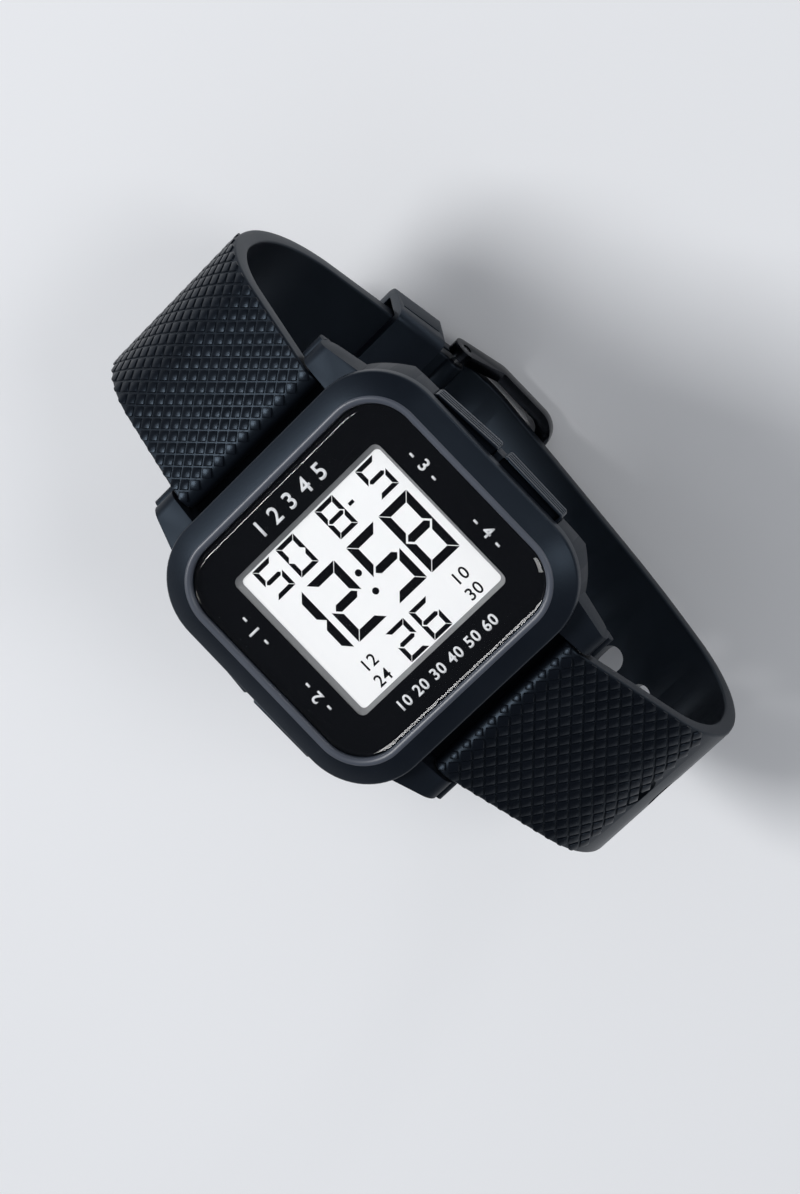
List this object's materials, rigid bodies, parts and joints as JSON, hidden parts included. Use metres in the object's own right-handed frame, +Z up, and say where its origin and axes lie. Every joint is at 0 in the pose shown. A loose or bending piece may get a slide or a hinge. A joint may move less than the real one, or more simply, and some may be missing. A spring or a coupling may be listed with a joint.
{
  "type": "digital wristwatch",
  "caption": "Square digital wristwatch with a resin case, four wedge side buttons and a resin strap closed by a tang buckle and a keeper.",
  "frame": {"origin": "middle of the box round the watch in plan, at the height of the buckle's lowest face, on which the closed strap stands", "axes": "+Z up and out of the display, +Y towards the strap half that carries the buckle (12 o'clock), +X towards the pair of buttons at 3 o'clock"},
  "size_m": [0.0428, 0.0816, 0.052],
  "materials": {
    "resin": "satin",
    "bezel_resin": "satin",
    "button_resin": "satin",
    "strap_resin": "satin",
    "glass": "polished",
    "mask": "gloss",
    "lcd": "satin",
    "pale_frame": "satin",
    "seal": "matte",
    "white_plastic": "matte",
    "lamp": "gloss",
    "zebra": "matte",
    "board": "satin",
    "epoxy": "gloss",
    "steel": "satin",
    "brushed_back": "brushed",
    "brass": "satin",
    "black_steel": "gloss"
  },
  "bodies": {
    "watch": {"case": "resin", "bezel": "bezel_resin", "glass": "glass", "glass_seal": "seal", "face_mask": "mask", "window_frame": "pale_frame", "lcd_panel": "lcd", "light_guide": "white_plastic", "lamp": "lamp", "zebra_strips": "zebra", "module_frame": "white_plastic", "circuit_board": "board", "chip": "epoxy", "quartz_can": "steel", "button_contacts": "steel", "coin_cell": "steel", "battery_clamp": "steel", "sounder_disc": "brass", "sounder_spring": "steel", "back_gasket": "seal", "case_back": "brushed_back", "back_screws": "steel", "light_spring": "steel", "mode_spring": "steel", "start_spring": "steel", "reset_spring": "steel", "button_seals": "seal", "strap_buckle_half": "strap_resin", "strap_hole_half": "strap_resin", "spring_bar_12": "steel", "spring_bar_6": "steel", "bar_coil_12": "steel", "bar_coil_6": "steel", "buckle_pin": "steel"},
    "light_pusher": {"light_button": "button_resin", "light_clip": "steel"},
    "mode_pusher": {"mode_button": "button_resin", "mode_clip": "steel"},
    "start_pusher": {"start_button": "button_resin", "start_clip": "steel"},
    "reset_pusher": {"reset_button": "button_resin", "reset_clip": "steel"},
    "pin_12_right": {"bar_tip_12_right": "steel"},
    "pin_12_left": {"bar_tip_12_left": "steel"},
    "pin_6_right": {"bar_tip_6_right": "steel"},
    "pin_6_left": {"bar_tip_6_left": "steel"},
    "buckle": {"buckle_frame": "black_steel"},
    "tongue": {"buckle_tongue": "black_steel"},
    "strap_keeper": {"keeper": "strap_resin"}
  },
  "joints": [
    {"name": "light_press", "type": "slide", "parent": "watch", "child": "light_pusher", "axis": [1, 0, 0], "range_m": [0, 0.0008], "stiffness_N_per_m": 900, "springref_m": -0.0006, "deforming": ["light_spring"]},
    {"name": "mode_press", "type": "slide", "parent": "watch", "child": "mode_pusher", "axis": [1, 0, 0], "range_m": [0, 0.0008], "stiffness_N_per_m": 900, "springref_m": -0.0006, "deforming": ["mode_spring"]},
    {"name": "start_press", "type": "slide", "parent": "watch", "child": "start_pusher", "axis": [-1, 0, 0], "range_m": [0, 0.0008], "stiffness_N_per_m": 900, "springref_m": -0.0006, "deforming": ["start_spring"]},
    {"name": "reset_press", "type": "slide", "parent": "watch", "child": "reset_pusher", "axis": [-1, 0, 0], "range_m": [0, 0.0008], "stiffness_N_per_m": 900, "springref_m": -0.0006, "deforming": ["reset_spring"]},
    {"name": "pin_12_right_slide", "type": "slide", "parent": "watch", "child": "pin_12_right", "axis": [-1, 0, 0], "range_m": [0, 0.0009], "stiffness_N_per_m": 600, "springref_m": -0.0008, "deforming": ["bar_coil_12"]},
    {"name": "pin_12_left_slide", "type": "slide", "parent": "watch", "child": "pin_12_left", "axis": [1, 0, 0], "range_m": [0, 0.0009], "stiffness_N_per_m": 600, "springref_m": -0.0008, "deforming": ["bar_coil_12"]},
    {"name": "pin_6_right_slide", "type": "slide", "parent": "watch", "child": "pin_6_right", "axis": [-1, 0, 0], "range_m": [0, 0.0009], "stiffness_N_per_m": 600, "springref_m": -0.0008, "deforming": ["bar_coil_6"]},
    {"name": "pin_6_left_slide", "type": "slide", "parent": "watch", "child": "pin_6_left", "axis": [1, 0, 0], "range_m": [0, 0.0009], "stiffness_N_per_m": 600, "springref_m": -0.0008, "deforming": ["bar_coil_6"]},
    {"name": "buckle_hinge", "type": "hinge", "parent": "watch", "child": "buckle", "pos_m": [0, 0.01371, 0.00594], "axis": [1, 0, 0], "range_deg": [0, 5]},
    {"name": "tongue_hinge", "type": "hinge", "parent": "watch", "child": "tongue", "pos_m": [0, 0.01371, 0.00594], "axis": [1, 0, 0], "range_deg": [0, 5]},
    {"name": "keeper_slide", "type": "slide", "parent": "watch", "child": "strap_keeper", "axis": [0, 0.866, 0.5], "range_m": [0, 0.005]}
  ],
  "couplings": [
    {"joint": "tongue_hinge", "follows": "buckle_hinge", "ratio": 1}
  ]
}
